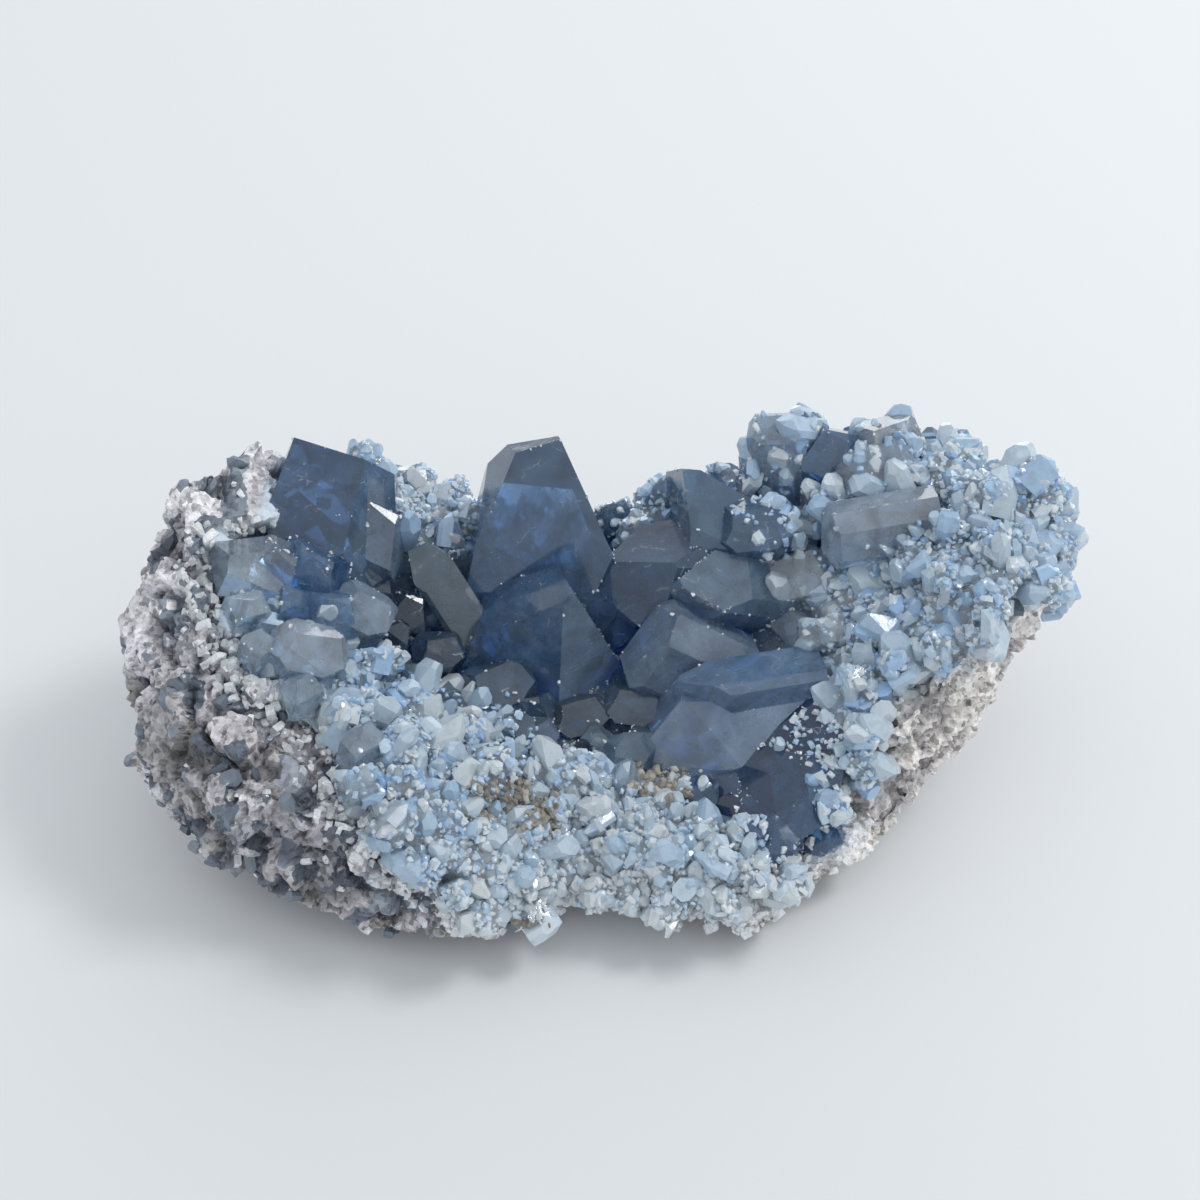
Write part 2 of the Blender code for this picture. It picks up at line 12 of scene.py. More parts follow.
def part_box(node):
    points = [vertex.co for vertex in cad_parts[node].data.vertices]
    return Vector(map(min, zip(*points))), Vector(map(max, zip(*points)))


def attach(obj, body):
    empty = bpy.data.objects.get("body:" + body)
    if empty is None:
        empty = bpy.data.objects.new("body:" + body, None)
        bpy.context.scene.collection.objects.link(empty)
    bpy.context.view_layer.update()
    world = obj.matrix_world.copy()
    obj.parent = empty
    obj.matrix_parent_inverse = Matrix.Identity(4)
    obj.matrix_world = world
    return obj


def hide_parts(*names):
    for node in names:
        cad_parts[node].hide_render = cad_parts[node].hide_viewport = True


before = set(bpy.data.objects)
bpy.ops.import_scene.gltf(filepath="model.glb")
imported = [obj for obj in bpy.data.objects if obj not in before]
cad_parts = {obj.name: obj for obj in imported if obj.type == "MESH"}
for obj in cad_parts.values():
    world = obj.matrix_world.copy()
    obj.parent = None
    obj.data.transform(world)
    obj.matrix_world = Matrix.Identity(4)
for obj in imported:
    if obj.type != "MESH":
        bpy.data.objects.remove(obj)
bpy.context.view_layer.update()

# The rock
# The piece of grey, sugary rock that the crystals grew on: chipped blocks, ledges, cracks and pits
# over its lumps, darkened with painted shade in the pits and deep hollows. It is remeshed from its solid
# and carved along the normals, a little more in than out.
MM = 0.001
JOINED = 0.001 * MM
ROCK_VOXEL = 0.55 * MM
# The carved forms: widths, steps and depths in millimetres, and the rest as shares.
BEND_SIZE, BEND = 5.0, 1.8
BLOCK_SIZE, BLOCK_STEP, BLOCK_SUNK = 7.0, 1.6, 0.6
CRACK_DEPTH, CRACK_SHARE = 0.7, 0.16
CHIP_SIZE, CHIP_STEP, CHIP_SUNK = 2.2, 0.9, 0.5
GROOVE_WIDTH, GROOVE_HEIGHT, GROOVE_DEPTH = 2.2, 8.0, 1.3
LAYER_LENGTH, LAYER_THICKNESS, LAYER_DEPTH = 9.0, 1.1, 0.9
PIT_SIZE, PIT_DEPTH, NO_PIT_SHARE = 3.6, 1.8, 0.72
PIT_FLOOR, PIT_RIM = 0.12, 0.52
PIT_START = Vector((5.2, 1.3, 8.1))
GRAIN_SIZE, GRAIN_HEIGHT = 0.9, 0.34
FINER_SIZE, FINER_HEIGHT = 0.45, 0.5
MOST_OUT = 0.45
# Where the grooves begin and are whole, left of the middle, and the layers, above the foot.
GROOVES_BEGIN, GROOVES_WHOLE = 34, 48
LAYERS_BEGIN, LAYERS_WHOLE = 9, 5
# How deep a hollow gets painted shade, from the first to the full depth, and how dark that painted shade
# is.
DARK_FROM, DARK_TO, HOLLOW_SHADE = 0.9, 2.2, 0.6
FOOT_HEIGHT, FACES_DOWN = 0.6 * MM, -0.5
COAT_WHOLE, COAT_ENDS = 0.5, 2.0
CELL_SPREAD = 7.31
# The bends come out the same each run only with a seed of their own.
BEND_SEED = 4


def whole_copy(node):
    """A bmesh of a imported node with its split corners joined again."""
    bm = bmesh.new()
    bm.from_mesh(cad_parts[node].data)
    bmesh.ops.remove_doubles(bm, verts=bm.verts, dist=JOINED)
    return bm


def new_piece(name, mesh, material):
    """A piece that stands with the rock and takes its finish from one slot."""
    piece = bpy.data.objects.new(name, mesh)
    bpy.context.scene.collection.objects.link(piece)
    mesh.materials.append(material)
    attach(piece, "root")
    return piece


def set_sockets(tree, node, values):
    """Links the sockets that get their value from another node, and writes the plain ones."""
    for socket, value in values.items():
        if isinstance(value, bpy.types.NodeSocket):
            tree.links.new(value, node.inputs[socket])
        else:
            node.inputs[socket].default_value = value


def new_look(name):
    """A new material with its tree and its shader."""
    material = bpy.data.materials.new(name)
    material.use_nodes = True
    tree = material.node_tree
    return material, tree, tree.nodes["Principled BSDF"]


def add_node(tree, kind, values, **settings):
    """A node with its settings and its sockets."""
    node = tree.nodes.new("ShaderNode" + kind)
    for key, value in settings.items():
        setattr(node, key, value)
    set_sockets(tree, node, values)
    return node


def object_place(tree):
    """The place on the piece that the patterns follow."""
    return add_node(tree, "TexCoord", {}).outputs["Object"]


def mesh_value(tree, name, output="Fac"):
    """A value that the mesh carries."""
    return add_node(tree, "Attribute", {}, attribute_name=name).outputs[output]


def ramp(tree, factor, stops):
    """A colour ramp: stops are (place, grey or colour)."""
    node = add_node(tree, "ValToRGB", {"Fac": factor})
    elements = node.color_ramp.elements
    while len(elements) < len(stops):
        elements.new(0.5)
    for element, (place, colour) in zip(elements, stops):
        element.position = place
        element.color = (colour, colour, colour, 1) if isinstance(colour, float) else (*colour, 1)
    return node.outputs["Color"]


def blended(tree, way, factor, first, second):
    """Two colours mixed in one way, through the colour sockets of a Mix node."""
    colours = {0: factor, 6: first, 7: second}
    return add_node(tree, "Mix", colours, data_type="RGBA", blend_type=way).outputs[2]


def fade(tree, value, start, end):
    """A mask that goes from 0 to 1 between two places in millimetres."""
    span = {"Value": value, "From Min": start * MM, "From Max": end * MM}
    return add_node(tree, "MapRange", span).outputs["Result"]


def bumped(tree, height, distance, strength):
    """The normal over small bumps, their height in millimetres."""
    bumps = {"Height": height, "Distance": distance * MM, "Strength": strength}
    return add_node(tree, "Bump", bumps).outputs["Normal"]


def shared_effect(name, inputs, outputs):
    """An empty shader node group with named sockets: its tree, its input sockets and its output node."""
    group = bpy.data.node_groups.new(name, "ShaderNodeTree")
    for side, sockets in (("INPUT", inputs), ("OUTPUT", outputs)):
        for socket, kind in sockets.items():
            group.interface.new_socket(socket, in_out=side, socket_type="NodeSocket" + kind)
    return group, group.nodes.new("NodeGroupInput").outputs, group.nodes.new("NodeGroupOutput")


def use_effect(tree, group, values):
    """A shared effect in a material's tree, as its output sockets."""
    return add_node(tree, "Group", values, node_tree=group).outputs


def smooth_step(value, low, high):
    """0 below the low value, 1 above the high one, and a soft curve between them."""
    share = min(max((value - low) / (high - low), 0.0), 1.0)
    return share * share * (3 - 2 * share)


def cell_value(point, salt):
    """A steady number from 0 to 1 for one cell of a broken pattern."""
    return noise.cell(point * CELL_SPREAD + Vector((salt, salt, salt)))


def carve(place):
    """How far the broken surface stands out at a place, and how much painted shade its pits and deep
    hollows get there.
    """
    warped = place + noise.noise_vector(place / BEND_SIZE) * BEND
    near, points = noise.voronoi(warped / BLOCK_SIZE)
    out = (cell_value(points[0], salt=3.0) - BLOCK_SUNK) * BLOCK_STEP
    out -= (1 - smooth_step(near[1] - near[0], 0.0, CRACK_SHARE)) * CRACK_DEPTH
    near, points = noise.voronoi(warped / CHIP_SIZE)
    out += (cell_value(points[0], salt=11.0) - CHIP_SUNK) * CHIP_STEP
    tall = Vector((warped.x / GROOVE_WIDTH, warped.y / GROOVE_WIDTH, warped.z / GROOVE_HEIGHT))
    out += noise.noise(tall) * GROOVE_DEPTH * smooth_step(-place.x, GROOVES_BEGIN, GROOVES_WHOLE)
    flat = Vector((place.x / LAYER_LENGTH, place.y / LAYER_LENGTH, warped.z / LAYER_THICKNESS))
    out += noise.noise(flat) * LAYER_DEPTH * smooth_step(-place.z, -LAYERS_BEGIN, -LAYERS_WHOLE)
    near, points = noise.voronoi(warped / PIT_SIZE + PIT_START)
    pit = 0.0
    if cell_value(points[0], salt=17.0) > NO_PIT_SHARE:
        pit = 1 - smooth_step(near[0], PIT_FLOOR, PIT_RIM)
    out -= pit * PIT_DEPTH
    # Painted shade: the pits, and places sunk deep below the surface, are marked to be darkened.
    hollow_shade = max(pit, smooth_step(-out, DARK_FROM, DARK_TO) * HOLLOW_SHADE)
    out += noise.noise(place / GRAIN_SIZE) * GRAIN_HEIGHT
    out += noise.noise(place / (GRAIN_SIZE * FINER_SIZE)) * GRAIN_HEIGHT * FINER_HEIGHT
    return min(out, MOST_OUT), hollow_shade


rock_start = whole_copy("matrix")
rock_tree = BVHTree.FromBMesh(rock_start)
crust = whole_copy("crystal_crust")
crust_tree = BVHTree.FromBMesh(crust)
plain_mesh = bpy.data.meshes.new("rock_start")
rock_start.to_mesh(plain_mesh)
plain_rock = bpy.data.objects.new("rock_start", plain_mesh)
bpy.context.scene.collection.objects.link(plain_rock)
remesh = plain_rock.modifiers.new("even", "REMESH")
remesh.mode = "VOXEL"
remesh.voxel_size = ROCK_VOXEL
even_rock = plain_rock.evaluated_get(bpy.context.evaluated_depsgraph_get())
rock_mesh = bpy.data.meshes.new_from_object(even_rock)
bpy.data.objects.remove(plain_rock)
rock_mesh.name = "rock"
rock_low, rock_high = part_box("matrix")
noise.seed_set(BEND_SEED)
hollow_shades = []
places = [vert.co.copy() for vert in rock_mesh.vertices]
normals = [vert.normal.copy() for vert in rock_mesh.vertices]
for place, normal in zip(places, normals):
    out, pit = carve(place / MM)
    hollow_shades.append(pit)
    if place.z > FOOT_HEIGHT or normal.z > FACES_DOWN:
        place += normal * out * MM
    for axis in range(3):
        place[axis] = min(max(place[axis], rock_low[axis]), rock_high[axis])
rock_mesh.vertices.foreach_set("co", np.array(places).ravel())
rock_mesh.update()
# The pit values are the painted shade of the pits and deep hollows.
rock_mesh.attributes.new("pit", "FLOAT", "POINT").data.foreach_set("value", hollow_shades)
crust_gaps = [crust_tree.find_nearest(place)[3] / MM for place in places]
under_coat = [1 - smooth_step(gap, COAT_WHOLE, COAT_ENDS) for gap in crust_gaps]
rock_mesh.attributes.new("coated", "FLOAT", "POINT").data.foreach_set("value", under_coat)
rock_mesh.materials.clear()

# The bends that break up a pattern's straight lines, shared by the rock and the large crystals.
wavy_place, given, result = shared_effect(
    "wavy place", {"Place": "Vector", "Reach": "Vector"}, {"Place": "Vector"},
)
warp = add_node(wavy_place, "TexNoise", {"Vector": given["Place"], "Scale": 380.0, "Detail": 2.0})
bend = {0: warp.outputs["Color"], 1: given["Reach"], 2: given["Place"]}
shifted = add_node(wavy_place, "VectorMath", bend, operation="MULTIPLY_ADD")
set_sockets(wavy_place, result, {"Place": shifted.outputs["Vector"]})

STAINS = ((0.36, (0.42, 0.41, 0.41)), (0.50, (0.62, 0.60, 0.63)), (0.62, (0.84, 0.83, 0.86)))
# The right side's warm tone, made paler with painted light.
WARM_LIT_TONE = (0.92, 0.88, 0.84, 1)
FOOT_STAIN = (0.46, 0.42, 0.35, 1)
SPECKS = ((0.15, 0.30), (0.38, 0.95), (0.75, 1.25))
FINE_GRAIN = ((0.3, 0.25), (0.5, 0.95), (0.7, 1.3))
INLAY_SHADES = ((0.0, (0.09, 0.11, 0.14)), (0.30, (0.24, 0.28, 0.34)), (0.40, (0.36, 0.40, 0.46)))
INLAY_SHARE = ((0.38, 1.0), (0.42, 0.0))
INLAY_REACH = (0.002, 0.002, 0.002)
# The painted shade in the pits and deep hollows.
PIT_SHADE = (0.28, 0.28, 0.32, 1)
ICE_TINT = (0.72, 0.80, 0.90, 1)
ROCK_GLOSS = ((0.2, 0.9), (0.8, 0.45))
# Where the stains lie, in millimetres: warm and paler to the right, partly its own tone and partly painted
# light, brown at the foot, blue inlays to the left.
WARM_LIT_SIDE = (18, 36)
BROWN_FOOT = (6, 2)
INLAID_SIDE = (10, -22)

rock_look, tree, shader = new_look("grey_sugary_rock")
place = object_place(tree)
axes = add_node(tree, "SeparateXYZ", {"Vector": place}).outputs
zone = add_node(tree, "TexNoise", {"Vector": place, "Scale": 70.0, "Detail": 4.0})
stain_light_and_shade = ramp(tree, zone.outputs["Fac"], STAINS)
# The right side's own warm tone, made paler with painted light.
warmer_and_lit = blended(tree, "MIX", 0.8, stain_light_and_shade, WARM_LIT_TONE)
stain_light_and_shade = blended(tree, "MIX", fade(tree, axes["X"], *WARM_LIT_SIDE), stain_light_and_shade, warmer_and_lit)
stain_light_and_shade = blended(tree, "MIX", fade(tree, axes["Z"], *BROWN_FOOT), stain_light_and_shade, FOOT_STAIN)
speck = add_node(tree, "TexVoronoi", {"Vector": place, "Scale": 1500.0})
specks = ramp(tree, speck.outputs["Color"], SPECKS)
stain_light_and_shade = blended(tree, "MULTIPLY", 0.75, stain_light_and_shade, specks)
fine = add_node(tree, "TexNoise", {
    "Vector": place, "Scale": 900.0, "Detail": 6.0, "Roughness": 0.7,
}).outputs["Fac"]
stain_light_and_shade = blended(tree, "MULTIPLY", 0.8, stain_light_and_shade, ramp(tree, fine, FINE_GRAIN))
wavy = use_effect(tree, wavy_place, {"Place": place, "Reach": INLAY_REACH})
inlay = add_node(tree, "TexVoronoi", {"Vector": wavy["Place"], "Scale": 330.0}).outputs["Color"]
inlaid = ramp(tree, inlay, INLAY_SHARE)
inlaid = blended(tree, "MULTIPLY", 1.0, inlaid, fade(tree, axes["X"], *INLAID_SIDE))
inlay_shade = blended(tree, "MULTIPLY", 0.5, ramp(tree, inlay, INLAY_SHADES), specks)
stain_light_and_shade = blended(tree, "MIX", inlaid, stain_light_and_shade, inlay_shade)
# Painted shade: the pits and deep hollows are darkened with the pit shade.
pit_shaded = blended(tree, "MULTIPLY", 1.0, stain_light_and_shade, PIT_SHADE)
stain_light_and_shade = blended(tree, "MIX", mesh_value(tree, "pit"), stain_light_and_shade, pit_shaded)
stain_light_and_shade = blended(tree, "MIX", mesh_value(tree, "coated"), stain_light_and_shade, ICE_TINT)
set_sockets(tree, shader, {
    "Base Color": stain_light_and_shade,
    "Roughness": ramp(tree, speck.outputs["Color"], ROCK_GLOSS),
    "Normal": bumped(tree, fine, distance=0.35, strength=0.9),
})

rock = new_piece("rock", rock_mesh, rock_look)
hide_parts("matrix")

# The grown crystals
# Every crystal that stands out of the druse, pale to deep slate blue, in one clear mass as they grew
# together. Their flat faces come from the solid, and their roots go into the rock with no gap of air.
FLAT_ANGLE = math.radians(1.5)
ROOT_DEPTH = 1.5 * MM
NEAR_ROCK = 0.55 * MM
ONE_CRYSTAL = 9 * MM
CHANCE_SPREAD, HUE_CHANCE = 3.7, 0.25
HUE_FALL = 3
# The colour of the crystals near a place in millimetres: x, y, z, how blue-dark, how grey.
HUES = (
    (-6, 15, 38, 1.0, 0.25), (-4, 3, 26, 1.0, 0.0), (19, 17, 34, 0.7, 0.25), (19, -12, 18, 1.0, 0.0),
    (24, -16, 12, 1.0, 0.0), (18, -7, 17, 0.25, 0.0), (10, -8, 18, 0.25, 0.0), (-38, 12, 40, 0.75, 0.35),
    (-38, 9, 37, 0.8, 0.3), (-28, 10, 33, 0.5, 0.6), (-24, 8, 28, 0.9, 0.9), (-26, 5, 24, 0.9, 0.8),
    (-44, -1, 35, 0.25, 0.7), (-36, 0, 34, 0.7, 0.0), (-28, -3, 30, 0.4, 0.1), (-33, -10, 30, 0.0, 0.1),
    (-14, -4, 19, 0.75, 0.6), (4, -5, 16, 0.75, 0.9), (-3, -6, 15, 0.75, 0.9), (-30, 19, 33, 0.05, 0.3),
    (8, 8, 27, 0.8, 0.1), (6, 1, 22, 0.5, 0.0), (2, 2, 19, 0.55, 0.0), (10, 2, 17, 0.55, 0.0),
    (13, 10, 29, 0.6, 0.5), (37, 16, 38, 0.15, 0.0), (31, 20, 40, 0.8, 0.2), (39, 20, 40, 0.4, 0.6),
    (24, 22, 42, 0.15, 0.0), (50, 8, 36, 0.1, 0.0), (60, 10, 34, 0.15, 0.0), (25, -25, 12, 0.8, 0.0),
    (-10, -18, 15, 0.5, 0.7), (-3, -19, 14, 0.15, 0.3), (6, -23, 13, 0.05, 0.1), (-20, -17, 19, 0.02, 0.0),
    (33, -20, 14, 0.1, 0.1), (30, 4, 24, 0.1, 0.0), (10, 22, 29, 0.4, 0.6), (19, -13, 12, 1.0, 0.1),
    (25, -15, 11, 0.95, 0.0), (13, -12, 14, 0.9, 0.0), (19, -20, 12, 1.0, 0.0), (-32, -20, 18, 0.05, 0.0),
    (-15, -26, 11, 0.05, 0.0), (0, -31, 8, 0.0, 0.0), (18, -32, 8, 0.0, 0.0), (38, -10, 24, 0.05, 0.0),
    (44, 2, 29, 0.05, 0.0), (36, -24, 12, 0.0, 0.0), (52, 16, 36, 0.05, 0.0), (-20, 22, 32, 0.0, 0.2),
    (28, 10, 26, 0.2, 0.0), (-40, -10, 28, 0.05, 0.1), (-30, -12, 24, 0.0, 0.0),
)


def crystal_hue(place):
    """How dark and how grey the crystals are at a place, from the hues round it."""
    total = np.zeros(2)
    weights = 0.0
    for x, y, z, dark, grey in HUES:
        weight = 1 / (1.0 + (Vector((x, y, z)) - place / MM).length_squared) ** HUE_FALL
        total += np.array((dark, grey)) * weight
        weights += weight
    return total / weights


def sides_of_crystal(face):
    """The faces that one face reaches over outward edges: the sides of one crystal, in the mesh's order."""
    sides, edge = set(), {face}
    while edge:
        sides |= edge
        edge = {
            other for face in edge for line in face.edges if line.is_convex
            for other in line.link_faces if other not in sides
        }
    return sorted(sides, key=lambda side: side.index)


bmesh.ops.dissolve_limit(crust, angle_limit=FLAT_ANGLE, verts=crust.verts, edges=crust.edges)
rooted = set()
for vert in crust.verts:
    nearest, normal, _, gap = rock_tree.find_nearest(vert.co)
    if gap < NEAR_ROCK:
        vert.co = nearest - normal * ROOT_DEPTH
        rooted.add(vert)
crust.normal_update()
crust.faces.index_update()
hue_layer = crust.faces.layers.float_color.new("hue")
broad_layer = crust.faces.layers.float.new("broad")
left = set(crust.faces)
while left:
    sides = sides_of_crystal(left.pop())
    left.difference_update(sides)
    middles = [face.calc_center_median() for face in sides]
    middle = sum(middles, Vector()) / len(sides)
    broad = max(face.calc_area() for face in sides) / MM ** 2
    whole_hue = crystal_hue(middle)
    lucky = noise.cell(middle / MM * CHANCE_SPREAD)
    for face, own_middle in zip(sides, middles):
        in_reach = (own_middle - middle).length < ONE_CRYSTAL
        dark, grey = whole_hue if in_reach else crystal_hue(own_middle)
        dark = min(max(dark + (lucky - 0.5) * HUE_CHANCE, 0.0), 1.0)
        face[hue_layer] = (dark, grey, 0.0, 1.0)
        face[broad_layer] = broad
crystal_mesh = bpy.data.meshes.new("crystals")
crust.to_mesh(crystal_mesh)

BLUES = ((0.0, (0.78, 0.90, 1.0)), (0.4, (0.25, 0.47, 0.76)), (1.0, (0.03, 0.08, 0.20)))
GREYS = ((0.0, (0.80, 0.87, 0.90)), (0.5, (0.30, 0.41, 0.47)), (1.0, (0.07, 0.12, 0.17)))
CLOUDS = ((0.35, 0.6), (0.5, 1.0), (0.68, 1.4))
FLAW_REACH = (0.0016, 0.0016, 0.0016)
FLAW_LINE = ((0.0, 1.0), (0.03, 0.0))
FLAW_PATCH = ((0.54, 0.0), (0.60, 1.0))
FLAW_BREAKS = ((0.46, 0.0), (0.58, 0.8))
FLECK_DOT = ((0.05, 1.0), (0.12, 0.0))
FLECK_SHARE = ((0.80, 0.0), (0.84, 1.0))
FLAW_WHITE = (0.95, 0.97, 1.0, 1)
CRYSTAL_GLOSS = ((0.42, 0.03), (0.66, 0.14))
CELESTITE_IOR = 1.62

crystal_look, tree, shader = new_look("slate_blue_celestite")
place = object_place(tree)
hue = add_node(tree, "SeparateColor", {"Color": mesh_value(tree, "hue", "Color")}).outputs
tint = blended(tree, "MIX", hue["Green"], ramp(tree, hue["Red"], BLUES), ramp(tree, hue["Red"], GREYS))
cloud = add_node(tree, "TexNoise", {
    "Vector": place, "Scale": 230.0, "Detail": 5.0, "Distortion": 0.6,
}).outputs["Fac"]
tint = blended(tree, "MULTIPLY", 0.6, tint, ramp(tree, cloud, CLOUDS))
wavy = use_effect(tree, wavy_place, {"Place": place, "Reach": FLAW_REACH})
cracks = add_node(tree, "TexVoronoi", {
    "Vector": wavy["Place"], "Scale": 260.0,
}, feature="DISTANCE_TO_EDGE").outputs["Distance"]
flaws = blended(tree, "MULTIPLY", 1.0, ramp(tree, cracks, FLAW_LINE), ramp(tree, cloud, FLAW_PATCH))
breaks = add_node(tree, "TexNoise", {"Vector": place, "Scale": 900.0}).outputs["Fac"]
flaws = blended(tree, "MULTIPLY", 1.0, flaws, ramp(tree, breaks, FLAW_BREAKS))
fleck = add_node(tree, "TexVoronoi", {"Vector": place, "Scale": 700.0}).outputs
fleck_dots = ramp(tree, fleck["Distance"], FLECK_DOT)
fleck_dots = blended(tree, "MULTIPLY", 1.0, fleck_dots, ramp(tree, fleck["Color"], FLECK_SHARE))
flaws = blended(tree, "LIGHTEN", 1.0, flaws, fleck_dots)
haze = add_node(tree, "TexNoise", {"Vector": place, "Scale": 500.0, "Detail": 6.0}).outputs["Fac"]
wave = add_node(tree, "TexNoise", {"Vector": place, "Scale": 150.0, "Detail": 3.0}).outputs["Fac"]
set_sockets(tree, shader, {
    "Base Color": blended(tree, "MIX", flaws, tint, FLAW_WHITE),
    "Roughness": blended(tree, "LIGHTEN", 1.0, ramp(tree, haze, CRYSTAL_GLOSS), flaws),
    "Normal": bumped(tree, wave, distance=0.2, strength=0.25),
    "Transmission Weight": 0.75,
    "IOR": CELESTITE_IOR,
})
inside = add_node(tree, "VolumeAbsorption", {"Color": (0.30, 0.55, 0.78, 1), "Density": 150.0})
set_sockets(tree, tree.nodes["Material Output"], {"Volume": inside.outputs["Volume"]})

crystals = new_piece("crystals", crystal_mesh, crystal_look)
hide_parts("crystal_crust")

# The druse
# The sparkling coat of small crystals, from five millimetres wide down to sugar, that covers the rim,
# the front edge and the spaces between the large crystals. Each is a cut block set into what it grew on.
draw = np.random.default_rng(21)
# One small crystal, one unit wide: how far its root goes down, its height and depth, how far aside its
# tip stands, and the slopes, turns and cuts of its facets and corners.
FORM_ROOT, PLAIN_FACETS = 0.6, 4
FORM_HEIGHTS, FORM_DEPTHS = (0.5, 1.1), (0.7, 1.0)
TIP_X, TIP_Y = (-0.2, 0.2), (-0.15, 0.15)
TIP_SLOPES, TIP_TURNS, TIP_FLATS = (30, 66), (-18, 18), (0.02, 0.22)
CORNER_TURNS, CORNER_CUTS = (-12, 12), (0.44, 0.56)
# How one differs from the next as it grows: its depth and length, and how white it is by chance and by
# its height above the foot, as the lowest ones are the whitest.
GROWN_DEPTHS, GROWN_LENGTHS = (0.75, 1.0), (0.8, 1.25)
WHITE_BELOW, WHITE_OVER = 18, 12
TONE_BY_CHANCE, TONE_BY_HEIGHT = 0.65, 0.35
NO_AREA = 1e-15


def cut_face(bm, place, normal):
    """Cuts off all that lies outside one flat face and closes the solid there."""
    cut = bmesh.ops.bisect_plane(
        bm, geom=bm.verts[:] + bm.edges[:] + bm.faces[:],
        plane_co=place, plane_no=normal, clear_outer=True,
    )
    rim = [item for item in cut["geom_cut"] if isinstance(item, bmesh.types.BMEdge)]
    if rim:
        bmesh.ops.contextual_create(bm, geom=rim)


def level_direction(degrees):
    """The level direction at an angle from the x axis."""
    return Vector((math.cos(math.radians(degrees)), math.sin(math.radians(degrees)), 0))


def grain_forms(count, facets, seed):
    """Small crystals that end in so many sloping facets: their points and their faces.
    Where there are more facets than the plain four, the upright corners are cut off too."""
    random = np.random.default_rng(seed)
    forms = []
    for _ in range(count):
        bm = bmesh.new()
        bmesh.ops.create_cube(bm, size=1.0)
        height = random.uniform(*FORM_HEIGHTS)
        size = (1.0, random.uniform(*FORM_DEPTHS), height + FORM_ROOT)
        bmesh.ops.scale(bm, verts=bm.verts, vec=size)
        bmesh.ops.translate(bm, verts=bm.verts, vec=(0, 0, (height - FORM_ROOT) / 2))
        top = Vector((random.uniform(*TIP_X), random.uniform(*TIP_Y), height))
        for step in range(facets):
            slope = math.radians(random.uniform(*TIP_SLOPES))
            side = level_direction(360 * step / facets + random.uniform(*TIP_TURNS))
            end = top + side * random.uniform(*TIP_FLATS)
            cut_face(bm, end, side * math.sin(slope) + Vector((0, 0, math.cos(slope))))
        if facets > PLAIN_FACETS:
            for corner in (45, 135, 225, 315):
                side = level_direction(corner + random.uniform(*CORNER_TURNS))
                cut_face(bm, side * random.uniform(*CORNER_CUTS), side)
        bmesh.ops.recalc_face_normals(bm, faces=bm.faces)
        bm.verts.index_update()
        points = np.array([vert.co for vert in bm.verts])
        forms.append((points, [[vert.index for vert in face.verts] for face in bm.faces]))
        bm.free()
    return forms


def ground_of(mesh):
    """A mesh's triangles as arrays: corners, normals, areas and how broad each one's crystal is."""
    mesh.calc_loop_triangles()
    count = len(mesh.loop_triangles)
    corners = np.zeros(count * 3, int)
    mesh.loop_triangles.foreach_get("vertices", corners)
    points = np.array([vert.co for vert in mesh.vertices])[corners.reshape(-1, 3)]
    owner = np.zeros(count, int)
    mesh.loop_triangles.foreach_get("polygon_index", owner)
    broad = np.zeros(len(mesh.polygons))
    if "broad" in mesh.attributes:
        mesh.attributes["broad"].data.foreach_get("value", broad)
    across = np.cross(points[:, 1] - points[:, 0], points[:, 2] - points[:, 0])
    area = np.linalg.norm(across, axis=1) / 2
    normal = across / np.maximum(area[:, None] * 2, NO_AREA)
    return points, normal, area, broad[owner]


def gaps_to(solid_tree, middles):
    """How far places in millimetres are from a solid, in millimetres."""
    return np.array([solid_tree.find_nearest(Vector(place) * MM)[3] for place in middles]) / MM


def within(places, middle, reach, soft=3.0):
    """How far inside an upright rounded box each place lies, from 0 to 1."""
    beyond = np.abs(places - np.array(middle)) - np.array(reach)
    return np.clip(0.5 - beyond.max(1) / (2 * soft), 0, 1)


def thickness(places, boxes):
    """How thick a coat is at each place, from boxes of a middle, a half size and a thickness."""
    return np.max([within(places, middle, reach) * thick for middle, reach, thick in boxes], axis=0)


def scatter(ground, weights, tries):
    """Places and normals spread over the ground by area times weight."""
    points, normals, areas, _ = ground
    chance = areas * weights
    chosen = draw.choice(len(areas), size=tries, p=chance / chance.sum())
    first, second = draw.random(tries), draw.random(tries)
    flip = first + second > 1
    first[flip], second[flip] = 1 - first[flip], 1 - second[flip]
    corner = points[chosen]
    places = corner[:, 0] + first[:, None] * (corner[:, 1] - corner[:, 0])
    places += second[:, None] * (corner[:, 2] - corner[:, 0])
    return places, normals[chosen]


def mostly_narrow(narrowest, wider, count, power):
    """Widths of which few reach the widest: the higher the power, the fewer."""
    return (narrowest + wider * draw.random(count) ** power) * MM


def spaced(places, widths, share):
    """Which places keep their distance from those before them, with a grid to find neighbours."""
    cell = widths.max()
    grid = {}
    kept = []
    for number, (place, width) in enumerate(zip(places, widths)):
        key = tuple(np.floor(place / cell).astype(int))
        near = (
            other for x in (-1, 0, 1) for y in (-1, 0, 1) for z in (-1, 0, 1)
            for other in grid.get((key[0] + x, key[1] + y, key[2] + z), ())
        )
        if any(
            np.linalg.norm(place - places[other]) < (width + widths[other]) / 2 * share
            for other in near
        ):
            continue
        grid.setdefault(key, []).append(number)
        kept.append(number)
    return kept


